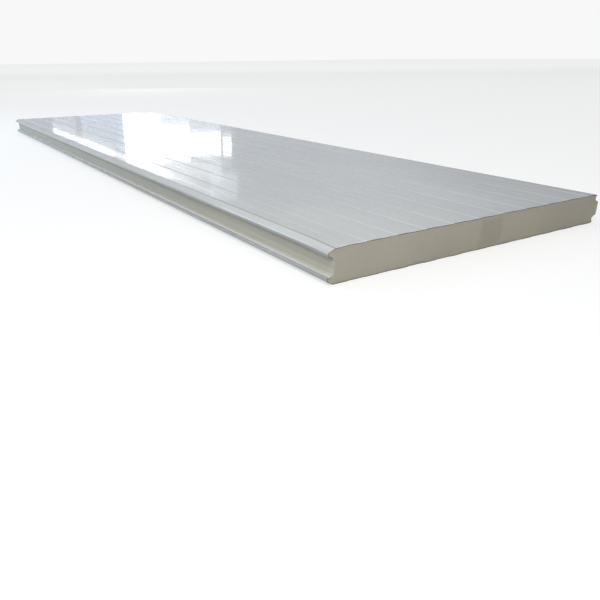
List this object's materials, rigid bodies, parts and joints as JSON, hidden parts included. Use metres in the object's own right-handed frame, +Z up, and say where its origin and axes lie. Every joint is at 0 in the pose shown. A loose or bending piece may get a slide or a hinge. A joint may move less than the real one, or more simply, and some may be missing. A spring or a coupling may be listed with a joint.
{
  "type": "insulated sandwich panel",
  "caption": "Flat insulated wall panel: two thin coated steel facings with shallow lengthwise grooves bonded to a rigid foam core, with a tongue-and-groove V joint on its long edges.",
  "frame": {"origin": "middle of the underside of the overall box, on the face the panel lies on", "axes": "+Y along the panel's length, +X across it towards the tongue edge (the groove edge is at -X), +Z up through its thickness"},
  "size_m": [1.1694, 4, 0.1],
  "materials": {
    "upper_facing": "glossy grey-white coil coating",
    "lower_facing": "glossy grey-white coil coating",
    "foam_core": "sawn rigid polyurethane foam, dull cream"
  },
  "bodies": {
    "root": {"upper_facing": "upper_facing", "lower_facing": "lower_facing", "foam_core": "foam_core"}
  },
  "joints": []
}
